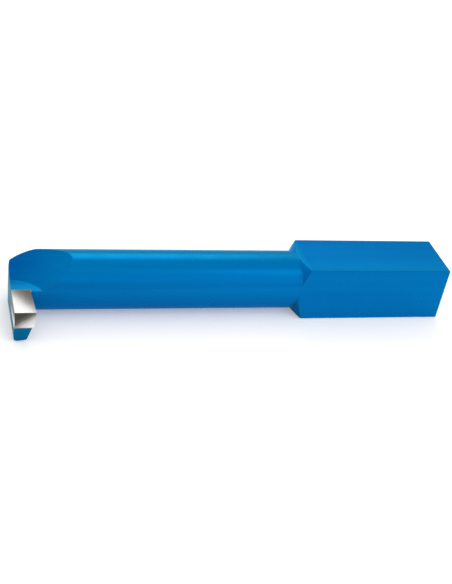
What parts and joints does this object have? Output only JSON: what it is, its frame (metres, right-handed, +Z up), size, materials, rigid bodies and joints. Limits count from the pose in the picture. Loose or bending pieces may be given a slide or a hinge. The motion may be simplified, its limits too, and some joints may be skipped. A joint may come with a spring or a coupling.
{
  "type": "carbide lathe tool",
  "caption": "Brazed internal turning tool: square shank, long round neck on a turned shoulder, hooked head with a milled scoop and a brazed carbide tip",
  "frame": {"origin": "the middle of the shank's base face", "axes": "+X along the shank away from the head, -Y towards the cutting edge, +Z up out of the rake face"},
  "size_m": [0.1235, 0.0251, 0.016],
  "materials": {
    "steel_body": "gloss blue lacquer",
    "carbide_tip": "ground",
    "braze_film": "dull"
  },
  "bodies": {
    "root": {"steel_body": "steel_body", "carbide_tip": "carbide_tip", "braze_film": "braze_film"}
  },
  "joints": []
}
